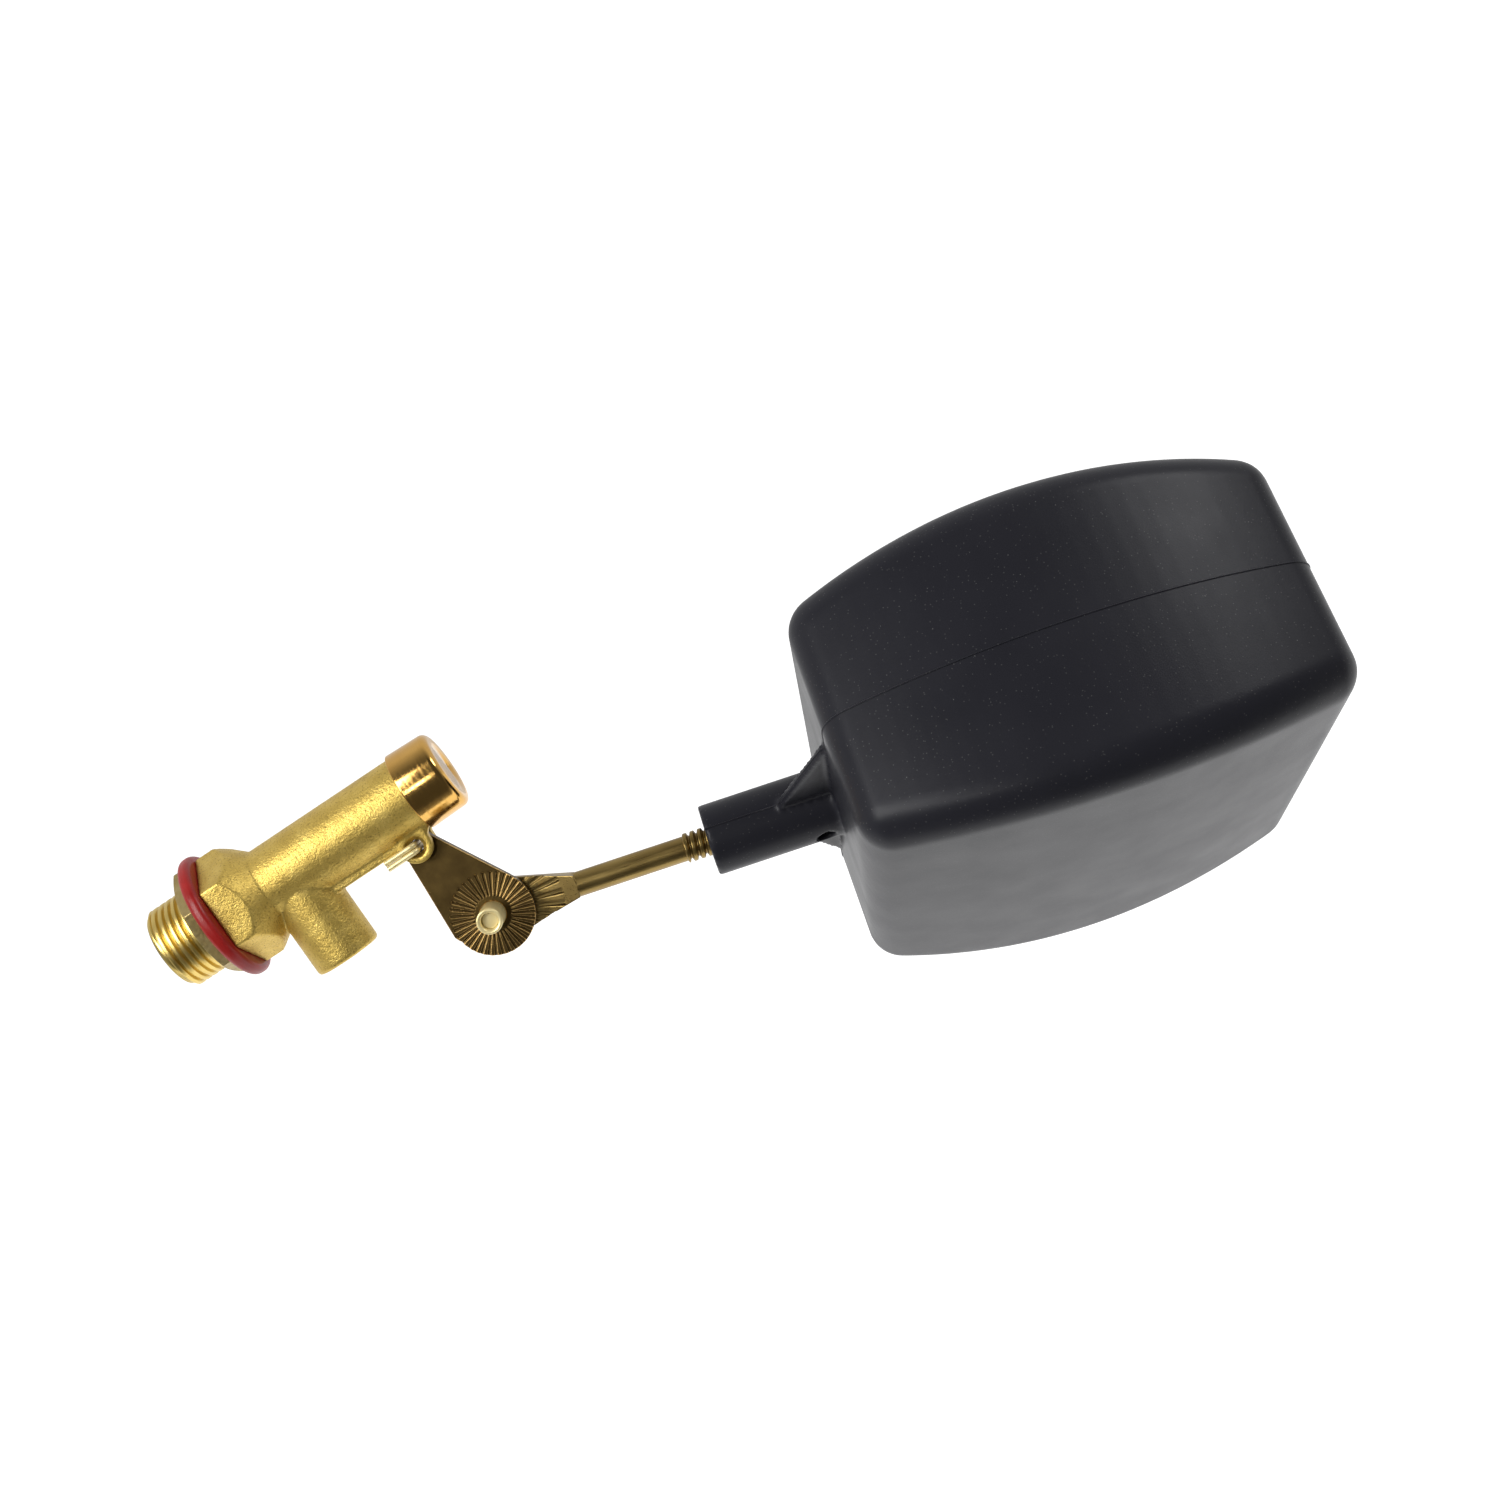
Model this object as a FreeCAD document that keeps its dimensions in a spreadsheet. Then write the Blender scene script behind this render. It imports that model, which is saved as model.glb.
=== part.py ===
"""Float valve: a brass tank valve worked by a hollow plastic float on an adjustable arm.

The valve lies along X, from the inlet thread at -X to the end cap at +X, with its outlet pointing down -Z.
Y is the axis of the lever's pivot.  The origin is the centre of the collar face that seals on the tank wall.
The arm is drawn along its own X, from the centre of the toothed clamp, and is then tilted into place.
"""

import FreeCAD, Part
import math
import os
import re

import Sketcher

SIZES = {
    # how far a cutting outline runs past what it cuts
    "overcut": 2.0,
    # inlet thread (half inch pipe) and the pieces that clamp the valve to a tank wall
    "thread_dia": 20.9,
    "thread_root": 18.9,
    "thread_pitch": 1.814,
    "thread_crest": 0.8,
    "thread_flank": 0.4,
    "thread_reach": 16.5,
    "inlet_dia": 11.0,
    "inlet_depth": 5.0,
    "nut_flats": 25.4,
    "nut_thick": 3.0,
    "nut_turn": 10.0,
    "nut_bevel": 0.9,
    "nut_clearance": 0.05,
    "nut_spare": 0.3,
    "washer_dia": 32.5,
    "washer_hole": 21.3,
    "washer_thick": 3.3,
    "washer_round": 1.4,
    # casting
    "collar_flats": 25.4,
    "collar_inset": 0.3,
    "collar_thick": 8.0,
    "collar_bevel_start": 5.0,
    "collar_foot": 11.4,
    "tube_dia": 18.6,
    "tube_end": 60.4,
    "bore_dia": 12.0,
    "bore_start": 8.0,
    "seat_face": 9.0,
    "seat_dia": 7.6,
    "orifice_dia": 5.0,
    "spout_place": 17.0,
    "spout_dia": 16.4,
    "spout_bore": 11.0,
    "spout_drop": 24.6,
    "spout_lip": 1.0,
    "spout_shelf": 6.8,
    "port_dia": 7.0,
    "keel_start": 23.0,
    "keel_width": 9.0,
    "keel_drop": 10.3,
    "keel_slope": 2.0,
    # lever pivot, carried by two ears under the tube
    "pivot_place": 45.7,
    "pivot_drop": 11.5,
    "ear_round": 4.0,
    "ear_outside": 4.9,
    "ear_inside": 1.6,
    "ear_hole": 3.4,
    "mouth_dia": 4.8,
    "mouth_depth": 1.0,
    "slot_half": 5.4,
    # end cap
    "cap_dia": 20.3,
    "cap_wall": 0.95,
    "cap_rim": 51.1,
    "cap_end": 61.9,
    "cap_gap": 0.3,
    "cap_clearance": 0.05,
    "cap_round": 1.8,
    # plunger, drawn with the valve fully open
    "lift": 4.1,
    "closed_gap": 0.06,
    "plunger_dia": 11.9,
    "stem_dia": 8.0,
    "stem_end": 27.0,
    "plunger_end": 55.5,
    "disc_dia": 9.6,
    "disc_thick": 2.6,
    "disc_backing": 1.0,
    "stem_flare": 1.0,
    "notch_half": 2.1,
    "notch_roof": 0.6,
    # lever plate
    "plate_thick": 2.6,
    "nose_reach": 8.4,
    "nose_lean": 14.0,
    "nose_round": 1.8,
    "nose_neck": 1.1,
    "pin_hole": 3.0,
    "eye_round": 3.9,
    "clamp_place": 51.1,
    "clamp_drop": 35.1,
    "head_round": 10.1,
    "edge_reach": 8.9,
    "edge_rise": 4.8,
    "shoulder_reach": 3.51,
    "shoulder_rise": 1.17,
    "tail_reach": 10.78,
    "tail_rise": 0.2,
    "tail_foot": 10.19,
    "tail_drop": 1.1,
    "tail_meet": 8.82,
    "tooth_count": 36,
    "tooth_start": 4.4,
    "tooth_width": 0.7,
    "tooth_depth": 0.3,
    "tooth_overrun": 0.1,
    # cotter pin
    "wire_dia": 1.4,
    "wire_offset": 0.72,
    "pin_eye": 2.0,
    "eye_flare": 1.2,
    "eye_gap": 0.3,
    "leg_gap": 0.1,
    "leg_bend": 1.0,
    "leg_length": 8.0,
    # clamp nut and screw
    "stud_dia": 6.2,
    "stud_reach": 11.0,
    "stud_hole": 4.0,
    "stud_clearance": 0.02,
    "screw_dia": 3.9,
    "screw_reach": 9.4,
    "knob_dia": 13.0,
    "knob_thick": 4.0,
    "knob_notches": 18,
    "notch_round": 0.45,
    "spring_dia": 8.0,
    "spring_thick": 0.9,
    "spring_split": 0.8,
    "spring_clearance": 0.1,
    "spring_gap": 0.05,
    # arm
    "arm_slope": 15.4,
    "arm_offset": 1.1,
    "paddle_round": 8.1,
    "paddle_near": 1.4,
    "paddle_far": 3.9,
    "paddle_taper_start": 11.5,
    "paddle_taper_end": 21.0,
    "paddle_groove_end": 17.5,
    "paddle_groove_width": 1.4,
    "rod_dia": 6.08,
    "rod_chamfer": 1.0,
    "paddle_clearance": 0.08,
    "paddle_neck": 5.48,
    "rod_thread_start": 48.4,
    "rod_thread_dia": 7.3,
    "rod_thread_pitch": 1.87,
    "rod_thread_turns": 16,
    "ridge_root": 0.5,
    "ridge_flank": 0.35,
    "ridge_crest": 0.15,
    "rod_end": 79.5,
    # float
    "float_roll": 28.0,
    "neck_start": 54.2,
    "neck_dia": 17.4,
    "neck_bore": 7.44,
    "neck_depth": 29.0,
    "drain_place": 81.5,
    "drain_dia": 4.4,
    "float_start": 85.8,
    "float_length": 112.5,
    "float_deep_end": 49.4,
    "float_deep_bulge": 10.9,
    "float_wide_end": 29.2,
    "float_wide_bulge": 7.7,
    "float_round": 8.6,
    "float_wall": 2.4,
    "web_start": 72.0,
    "web_reach": 34.0,
    "web_thick": 2.4,
    "web_lap": 1.0,
}

doc = FreeCAD.newDocument("FloatValve")
sheet = doc.addObject("Spreadsheet::Sheet", "Sizes")
for row, (alias, value) in enumerate(SIZES.items(), 1):
    sheet.set(f"A{row}", alias)
    sheet.set(f"B{row}", str(value))
    sheet.setAlias(f"B{row}", alias)
doc.recompute()


# ---------------------------------------------------------------- helpers


def cell(text):
    """The expression with every size name pointed at its cell in the sheet."""
    return re.sub(r"[a-z_]+", lambda word: f"Sizes.{word[0]}" if word[0] in SIZES else word[0], text)


def bind(item, path, text):
    item.setExpression(path, cell(text))


def new_body(label):
    body = doc.addObject("PartDesign::Body", label)
    body.Label = label
    return body


def datum(body, role):
    """The body's own origin plane or axis with this role."""
    return next(item for item in body.Origin.OriginFeatures if item.Role == role)


def new_sketch(body, name, role, offset=None):
    """A sketch on one of the body's origin planes, moved along the plane's normal by offset."""
    sketch = body.newObject("Sketcher::SketchObject", name)
    sketch.AttachmentSupport = (datum(body, role), [""])
    sketch.MapMode = "FlatFace"
    if offset:
        bind(sketch, "AttachmentOffset.Base.z", offset)
    return sketch


def locate(sketch, curve, point, across, up):
    """Dimension one point of a curve from the sketch's origin, from where it was drawn."""
    drawn = sketch.getPoint(curve, point)
    for kind, length, text in (("DistanceX", drawn.x, across), ("DistanceY", drawn.y, up)):
        index = sketch.addConstraint(Sketcher.Constraint(kind, -1, 1, curve, point, length))
        bind(sketch, f"Constraints[{index}]", text)


def polygon(sketch, corners):
    """A closed outline through corners, each an (across, up) pair of expressions."""
    count = len(corners)
    turns = [2 * math.pi * index / count for index in range(count)]
    rough = [FreeCAD.Vector(10 * math.cos(turn), 10 * math.sin(turn), 0) for turn in turns]
    lines = [
        sketch.addGeometry(Part.LineSegment(rough[index], rough[(index + 1) % count]), False)
        for index in range(count)
    ]
    for index in range(count):
        after = lines[(index + 1) % count]
        sketch.addConstraint(Sketcher.Constraint("Coincident", lines[index], 2, after, 1))
    for line, (across, up) in zip(lines, corners):
        locate(sketch, line, 1, across, up)


def circle(sketch, across, up, radius):
    middle = FreeCAD.Vector(1, 1, 0)
    ring = sketch.addGeometry(Part.Circle(middle, FreeCAD.Vector(0, 0, 1), 5), False)
    locate(sketch, ring, 3, across, up)
    index = sketch.addConstraint(Sketcher.Constraint("Radius", ring, 5.0))
    bind(sketch, f"Constraints[{index}]", radius)


def pad(body, sketch, length, side="Symmetric", reverse=False):
    feature = body.newObject("PartDesign::Pad", sketch.Name + "_pad")
    feature.Profile = sketch
    feature.SideType = side
    feature.Reversed = reverse
    bind(feature, "Length", length)
    doc.recompute()
    return feature


def checked_cut(body, feature, before):
    """Recompute a cutting feature and stop if it has taken nothing away."""
    doc.recompute()
    if not body.Shape.Volume < before - 1e-3:
        raise RuntimeError(f"{feature.Name} cuts nothing")
    return feature


def pocket(body, sketch, length, side="Symmetric", reverse=False):
    before = body.Shape.Volume
    feature = body.newObject("PartDesign::Pocket", sketch.Name + "_pocket")
    feature.Profile = sketch
    feature.SideType = side
    feature.Reversed = reverse
    bind(feature, "Length", length)
    return checked_cut(body, feature, before)


def revolve(body, sketch, axis):
    feature = body.newObject("PartDesign::Revolution", sketch.Name + "_turned")
    feature.Profile = sketch
    feature.ReferenceAxis = (datum(body, axis), [""])
    feature.Angle = 360
    doc.recompute()
    return feature


def groove(body, sketch, axis):
    before = body.Shape.Volume
    feature = body.newObject("PartDesign::Groove", sketch.Name + "_groove")
    feature.Profile = sketch
    feature.ReferenceAxis = (datum(body, axis), [""])
    feature.Angle = 360
    return checked_cut(body, feature, before)


def repeat_along(body, feature, axis, spacing, count):
    pattern = body.newObject("PartDesign::LinearPattern", feature.Name + "_row")
    pattern.Originals = [feature]
    pattern.Direction = (datum(body, axis), [""])
    bind(pattern, "Length", f"({spacing}) * ({count} - 1)")
    bind(pattern, "Occurrences", count)
    body.Tip = pattern
    doc.recompute()
    return pattern


def repeat_around(body, feature, axis_sketch, count):
    """Repeat a feature around the normal through a sketch's own origin."""
    pattern = body.newObject("PartDesign::PolarPattern", feature.Name + "_ring")
    pattern.Originals = [feature]
    pattern.Axis = (axis_sketch, ["N_Axis"])
    pattern.Angle = 360
    bind(pattern, "Occurrences", count)
    body.Tip = pattern
    doc.recompute()
    return pattern


def soften(body, radius, chosen):
    """Fillet the edges of the body's tip that pass the test."""
    tip = body.Tip
    names = [f"Edge{index}" for index, edge in enumerate(tip.Shape.Edges, 1) if chosen(edge)]
    if not names:
        raise RuntimeError(f"{body.Label} has no such edge to round")
    feature = body.newObject("PartDesign::Fillet", body.Name + "_fillet")
    feature.Base = (tip, names)
    bind(feature, "Radius", radius)
    doc.recompute()
    return feature


def near(value, size):
    return abs(value - size) < 0.02


def tilt(body, across, along, up, axis, angle):
    """Put a body drawn at the origin at its place, turned about one axis."""
    body.Placement = FreeCAD.Placement(FreeCAD.Vector(0, 0, 0), FreeCAD.Rotation(axis, 1))
    bind(body, "Placement.Base.x", across)
    bind(body, "Placement.Base.y", along)
    bind(body, "Placement.Base.z", up)
    bind(body, "Placement.Rotation.Angle", angle)


# ---------------------------------------------------------------- valve


def hexagon(sketch, flats):
    """A regular hexagon about the sketch's origin, with a corner at the top."""
    polygon(
        sketch,
        [
            ("0", f"{flats} / sqrt(3)"),
            (f"-{flats} / 2", f"{flats} / sqrt(12)"),
            (f"-{flats} / 2", f"-{flats} / sqrt(12)"),
            ("0", f"-{flats} / sqrt(3)"),
            (f"{flats} / 2", f"-{flats} / sqrt(12)"),
            (f"{flats} / 2", f"{flats} / sqrt(12)"),
        ],
    )


def make_valve_body():
    body = new_body("valve_body")
    outline = new_sketch(body, "casting_outline", "XZ_Plane")
    polygon(
        outline,
        [
            ("-thread_reach", "inlet_dia / 2"),
            ("-thread_reach", "thread_root / 2"),
            ("-thread_reach + (thread_dia - thread_root) / 2", "thread_dia / 2"),
            ("0", "thread_dia / 2"),
            ("0", "collar_flats / 2 - collar_inset"),
            ("collar_thick", "collar_flats / 2 - collar_inset"),
            ("collar_foot", "tube_dia / 2"),
            ("tube_end", "tube_dia / 2"),
            ("tube_end", "bore_dia / 2"),
            ("bore_start", "bore_dia / 2"),
            ("bore_start", "seat_dia / 2"),
            ("seat_face", "seat_dia / 2"),
            ("seat_face", "orifice_dia / 2"),
            ("inlet_depth", "orifice_dia / 2"),
            ("inlet_depth", "inlet_dia / 2"),
        ],
    )
    revolve(body, outline, "X_Axis")

    flats = new_sketch(body, "collar_flats_outline", "YZ_Plane")
    hexagon(flats, "collar_flats")
    circle(flats, "0", "0", "thread_root / 2")
    pad(body, flats, "collar_thick", "One side")
    bevel = new_sketch(body, "collar_bevel", "XZ_Plane")
    polygon(
        bevel,
        [
            ("collar_bevel_start", "collar_flats / sqrt(3)"),
            ("collar_thick", "collar_flats / 2 - collar_inset"),
            ("collar_thick + overcut", "collar_flats / 2 - collar_inset"),
            ("collar_thick + overcut", "collar_flats"),
            ("collar_bevel_start", "collar_flats"),
        ],
    )
    groove(body, bevel, "X_Axis")

    add_keel_and_ears(body)
    add_spout(body)
    cut_lever_slot(body)
    cut_inlet_thread(body)
    return body


def add_spout(body):
    spout = new_sketch(body, "spout_outline", "XY_Plane")
    circle(spout, "spout_place", "0", "spout_dia / 2")
    pad(body, spout, "spout_drop", "One side", reverse=True)
    outlet = new_sketch(body, "outlet_bore", "XY_Plane", "-spout_shelf")
    circle(outlet, "spout_place", "0", "spout_bore / 2")
    pocket(body, outlet, "spout_drop - spout_shelf + overcut", "One side")
    port = new_sketch(body, "outlet_port", "XY_Plane")
    circle(port, "spout_place", "0", "port_dia / 2")
    pocket(body, port, "spout_shelf + overcut", "One side")
    rebore = new_sketch(body, "plunger_bore", "YZ_Plane", "seat_face")
    circle(rebore, "0", "0", "bore_dia / 2")
    pocket(body, rebore, "tube_end - seat_face", "One side", reverse=True)
    lip = math.pi * SIZES["spout_dia"]
    drop = SIZES["spout_drop"]
    soften(body, "spout_lip", lambda edge: near(edge.CenterOfMass.z, -drop) and near(edge.Length, lip))


def add_keel_and_ears(body):
    keel = new_sketch(body, "keel_outline", "XZ_Plane")
    polygon(
        keel,
        [
            ("keel_start", "-(bore_dia + tube_dia) / 4"),
            ("cap_rim - cap_gap", "-(bore_dia + tube_dia) / 4"),
            ("cap_rim - cap_gap", "-tube_dia / 2"),
            ("pivot_place + ear_round", "-keel_drop"),
            ("keel_start + keel_slope", "-keel_drop"),
            ("keel_start", "-tube_dia / 2"),
        ],
    )
    pad(body, keel, "keel_width")
    ears = new_sketch(body, "ear_outline", "XZ_Plane")
    polygon(
        ears,
        [
            ("pivot_place - ear_round", "-pivot_drop"),
            ("pivot_place + ear_round", "-pivot_drop"),
            ("pivot_place + ear_round", "-(bore_dia + tube_dia) / 4"),
            ("pivot_place - ear_round", "-(bore_dia + tube_dia) / 4"),
        ],
    )
    pad(body, ears, "2 * ear_outside")
    rounds = new_sketch(body, "ear_round_outline", "XZ_Plane")
    circle(rounds, "pivot_place", "-pivot_drop", "ear_round")
    pad(body, rounds, "2 * ear_outside")


def cut_lever_slot(body):
    slot = new_sketch(body, "lever_slot", "XZ_Plane")
    polygon(
        slot,
        [
            ("pivot_place - slot_half", "-pivot_drop - 2 * ear_round"),
            ("pivot_place + slot_half", "-pivot_drop - 2 * ear_round"),
            ("pivot_place + slot_half", "-bore_dia / 4"),
            ("pivot_place - slot_half", "-bore_dia / 4"),
        ],
    )
    pocket(body, slot, "2 * ear_inside")
    hole = new_sketch(body, "pivot_hole", "XZ_Plane")
    circle(hole, "pivot_place", "-pivot_drop", "ear_hole / 2")
    pocket(body, hole, "2 * ear_outside + overcut")
    for name, face, far in (("near", "ear_outside", False), ("far", "-ear_outside", True)):
        mouth = new_sketch(body, f"{name}_hole_mouth", "XZ_Plane", face)
        circle(mouth, "pivot_place", "-pivot_drop", "mouth_dia / 2")
        pocket(body, mouth, "mouth_depth", "One side", reverse=far)


def cut_inlet_thread(body):
    """Rings in place of the helix: flat crests, each cut a trapezoid down to the root.

    The real thread runs on to the collar.  Its stretch under the nut and the washer is hidden, and is
    drawn plain at the root, so that the crests are the free end that a pipe fitting takes.
    """
    ring = new_sketch(body, "thread_ring", "XZ_Plane")
    polygon(
        ring,
        [
            ("-thread_pitch", "thread_dia / 2 + overcut"),
            ("-thread_pitch", "thread_dia / 2"),
            ("-thread_pitch + thread_flank * (thread_pitch - thread_crest)", "thread_root / 2"),
            ("-thread_pitch + (1 - thread_flank) * (thread_pitch - thread_crest)", "thread_root / 2"),
            ("-thread_crest", "thread_dia / 2"),
            ("-thread_crest", "thread_dia / 2 + overcut"),
        ],
    )
    cut = groove(body, ring, "X_Axis")
    row = repeat_along(body, cut, "X_Axis", "thread_pitch", "floor(thread_reach / thread_pitch) - 1")
    row.Reversed = True
    doc.recompute()
    covered = new_sketch(body, "covered_thread", "XZ_Plane")
    start = "-washer_thick - nut_thick - nut_spare"
    polygon(
        covered,
        [
            (start, "thread_root / 2"),
            ("0", "thread_root / 2"),
            ("0", "thread_dia / 2 + overcut"),
            (start, "thread_dia / 2 + overcut"),
        ],
    )
    groove(body, covered, "X_Axis")


def make_locknut():
    body = new_body("mounting_locknut")
    flats = new_sketch(body, "nut_outline", "YZ_Plane")
    hexagon(flats, "nut_flats")
    circle(flats, "0", "0", "thread_root / 2 + nut_clearance")
    pad(body, flats, "nut_thick", "One side", reverse=True)
    bevel = new_sketch(body, "nut_bevel", "XZ_Plane")
    polygon(
        bevel,
        [
            ("-nut_thick - overcut", "nut_flats / 2"),
            ("-nut_thick", "nut_flats / 2"),
            ("-nut_thick + nut_bevel", "nut_flats / sqrt(3)"),
            ("-nut_thick + nut_bevel", "nut_flats"),
            ("-nut_thick - overcut", "nut_flats"),
        ],
    )
    groove(body, bevel, "X_Axis")
    tilt(body, "-washer_thick", "0", "0", FreeCAD.Vector(1, 0, 0), "nut_turn")
    return body


def make_sealing_washer():
    body = new_body("sealing_washer")
    ring = new_sketch(body, "washer_outline", "YZ_Plane")
    circle(ring, "0", "0", "washer_dia / 2")
    circle(ring, "0", "0", "washer_hole / 2")
    pad(body, ring, "washer_thick", "One side", reverse=True)
    outer = math.pi * SIZES["washer_dia"]
    soften(body, "washer_round", lambda edge: near(edge.Length, outer))
    return body


def make_end_cap():
    body = new_body("end_cap")
    cup = new_sketch(body, "cap_outline", "XZ_Plane")
    polygon(
        cup,
        [
            ("cap_rim", "tube_dia / 2 + cap_clearance"),
            ("cap_rim", "cap_dia / 2"),
            ("cap_end", "cap_dia / 2"),
            ("cap_end", "0"),
            ("cap_end - cap_wall", "0"),
            ("cap_end - cap_wall", "tube_dia / 2 + cap_clearance"),
        ],
    )
    revolve(body, cup, "X_Axis")
    end = SIZES["cap_end"]
    rim = math.pi * SIZES["cap_dia"]
    soften(body, "cap_round", lambda edge: near(edge.CenterOfMass.x, end) and near(edge.Length, rim))
    return body


# ---------------------------------------------------------------- plunger

PLUNGER_TIP = "seat_face + closed_gap + lift"


def make_seat_disc():
    body = new_body("seat_disc")
    disc = new_sketch(body, "disc_outline", "YZ_Plane", PLUNGER_TIP)
    circle(disc, "0", "0", "disc_dia / 2")
    pad(body, disc, "disc_thick", "One side")
    return body


def make_plunger():
    body = new_body("plunger")
    outline = new_sketch(body, "plunger_outline", "XZ_Plane")
    polygon(
        outline,
        [
            (f"{PLUNGER_TIP} + disc_thick", "0"),
            (f"{PLUNGER_TIP} + disc_thick", "disc_dia / 2"),
            (f"{PLUNGER_TIP} + disc_thick + disc_backing", "disc_dia / 2"),
            (f"{PLUNGER_TIP} + disc_thick + disc_backing", "stem_dia / 2"),
            ("stem_end", "stem_dia / 2"),
            ("stem_end + stem_flare", "plunger_dia / 2"),
            ("plunger_end", "plunger_dia / 2"),
            ("plunger_end", "0"),
        ],
    )
    revolve(body, outline, "X_Axis")
    notch = new_sketch(body, "nose_notch", "XZ_Plane")
    nose = "pivot_place + nose_reach * sin(nose_lean)"
    polygon(
        notch,
        [
            (f"{nose} - notch_half", "-plunger_dia"),
            (f"{nose} + notch_half", "-plunger_dia"),
            (f"{nose} + notch_half", "-notch_roof"),
            (f"{nose} - notch_half", "-notch_roof"),
        ],
    )
    pocket(body, notch, "plunger_dia + overcut")
    return body


# ---------------------------------------------------------------- lever


def make_lever_plate():
    body = new_body("lever_plate")
    wedge = new_sketch(body, "wedge_outline", "XZ_Plane")
    polygon(
        wedge,
        [
            ("pivot_place - eye_round", "-pivot_drop"),
            ("clamp_place - tail_reach", "-clamp_drop + tail_rise"),
            ("clamp_place - tail_foot", "-clamp_drop - tail_drop"),
            ("clamp_place", "-clamp_drop - tail_meet"),
            ("clamp_place + edge_reach", "-clamp_drop + edge_rise"),
            ("pivot_place + shoulder_reach", "-pivot_drop + shoulder_rise"),
        ],
    )
    pad(body, wedge, "plate_thick")
    add_lever_nose(body)
    add_round(body, "lever_eye", "pivot_place", "-pivot_drop", "eye_round")
    add_round(body, "lever_head", "clamp_place", "-clamp_drop", "head_round")
    holes = new_sketch(body, "lever_holes", "XZ_Plane")
    circle(holes, "pivot_place", "-pivot_drop", "pin_hole / 2")
    circle(holes, "clamp_place", "-clamp_drop", "stud_dia / 2 + stud_clearance")
    pocket(body, holes, "plate_thick + overcut")
    for face, offset in (("front", "plate_thick / 2"), ("back", "-plate_thick / 2")):
        cut_lever_teeth(body, face, offset)
    return body


def add_round(body, name, across, up, radius):
    """A round part of the lever plate, as thick as the plate."""
    outline = new_sketch(body, name + "_outline", "XZ_Plane")
    circle(outline, across, up, radius)
    pad(body, outline, "plate_thick")


def add_lever_nose(body):
    """The leaning finger above the pivot that reaches into the plunger's notch."""
    nose = new_sketch(body, "nose_neck_outline", "XZ_Plane")
    lean_x = "nose_reach * sin(nose_lean)"
    lean_z = "nose_reach * cos(nose_lean)"
    side_x = "nose_neck * cos(nose_lean)"
    side_z = "nose_neck * sin(nose_lean)"
    polygon(
        nose,
        [
            (f"pivot_place - {side_x}", f"-pivot_drop + {side_z}"),
            (f"pivot_place + {side_x}", f"-pivot_drop - {side_z}"),
            (f"pivot_place + {lean_x} + {side_x}", f"-pivot_drop + {lean_z} - {side_z}"),
            (f"pivot_place + {lean_x} - {side_x}", f"-pivot_drop + {lean_z} + {side_z}"),
        ],
    )
    pad(body, nose, "plate_thick")
    add_round(body, "lever_nose", f"pivot_place + {lean_x}", f"-pivot_drop + {lean_z}", "nose_round")


def cut_lever_teeth(body, face, offset):
    """One ring of radial teeth on a face of the lever's round head."""
    centre = new_sketch(body, f"{face}_teeth_centre", "XZ_Plane")
    circle(centre, "clamp_place", "-clamp_drop", "tooth_start")
    tooth = new_sketch(body, f"{face}_tooth", "XZ_Plane", offset)
    polygon(
        tooth,
        [
            ("clamp_place + tooth_start", "-clamp_drop - tooth_width / 4"),
            ("clamp_place + head_round + tooth_overrun", "-clamp_drop - tooth_width / 2"),
            ("clamp_place + head_round + tooth_overrun", "-clamp_drop + tooth_width / 2"),
            ("clamp_place + tooth_start", "-clamp_drop + tooth_width / 4"),
        ],
    )
    cut = pocket(body, tooth, "2 * tooth_depth")
    axis = body.newObject("PartDesign::Line", f"{face}_teeth_axis")
    axis.AttachmentSupport = (centre, ["Edge1"])
    axis.MapMode = "AxisOfCurvature"
    doc.recompute()
    pattern = body.newObject("PartDesign::PolarPattern", f"{face}_teeth")
    pattern.Originals = [cut]
    pattern.Axis = (axis, [""])
    pattern.Angle = 360
    bind(pattern, "Occurrences", "tooth_count")
    body.Tip = pattern
    doc.recompute()


def make_clinch_nut():
    body = new_body("clinch_nut")
    barrel = new_sketch(body, "barrel_outline", "XZ_Plane", "-plate_thick / 2")
    circle(barrel, "clamp_place", "-clamp_drop", "stud_dia / 2")
    circle(barrel, "clamp_place", "-clamp_drop", "stud_hole / 2")
    pad(body, barrel, "stud_reach + plate_thick / 2", "One side")
    return body


def make_clamp_screw():
    body = new_body("clamp_screw")
    head_face = "-(paddle_far + spring_thick + 2 * spring_gap)"
    shank = new_sketch(body, "shank_outline", "XZ_Plane", head_face)
    circle(shank, "0", "0", "screw_dia / 2")
    pad(body, shank, "screw_reach + paddle_far + spring_thick + 2 * spring_gap", "One side")
    knob = new_sketch(body, "knob_outline", "XZ_Plane", head_face)
    circle(knob, "0", "0", "knob_dia / 2")
    pad(body, knob, "knob_thick", "One side", reverse=True)
    notch = new_sketch(body, "knob_notch", "XZ_Plane", head_face)
    circle(notch, "knob_dia / 2", "0", "notch_round")
    cut = pocket(body, notch, "2 * knob_thick + overcut")
    repeat_around(body, cut, notch, "knob_notches")
    tilt(body, "clamp_place", "0", "-clamp_drop", FreeCAD.Vector(1, 0, 0), "0")
    return body


def make_spring_washer():
    body = new_body("spring_washer")
    ring = new_sketch(body, "spring_outline", "XZ_Plane", "-(paddle_far + spring_gap)")
    circle(ring, "clamp_place", "-clamp_drop", "spring_dia / 2")
    circle(ring, "clamp_place", "-clamp_drop", "screw_dia / 2 + spring_clearance")
    pad(body, ring, "spring_thick", "One side", reverse=True)
    split = new_sketch(body, "spring_split", "XZ_Plane")
    polygon(
        split,
        [
            ("clamp_place", "-clamp_drop - spring_split / 2"),
            ("clamp_place + spring_dia", "-clamp_drop - spring_split / 2"),
            ("clamp_place + spring_dia", "-clamp_drop + spring_split / 2"),
            ("clamp_place", "-clamp_drop + spring_split / 2"),
        ],
    )
    pocket(body, split, "4 * paddle_far")
    return body


# ---------------------------------------------------------------- cotter pin


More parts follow.
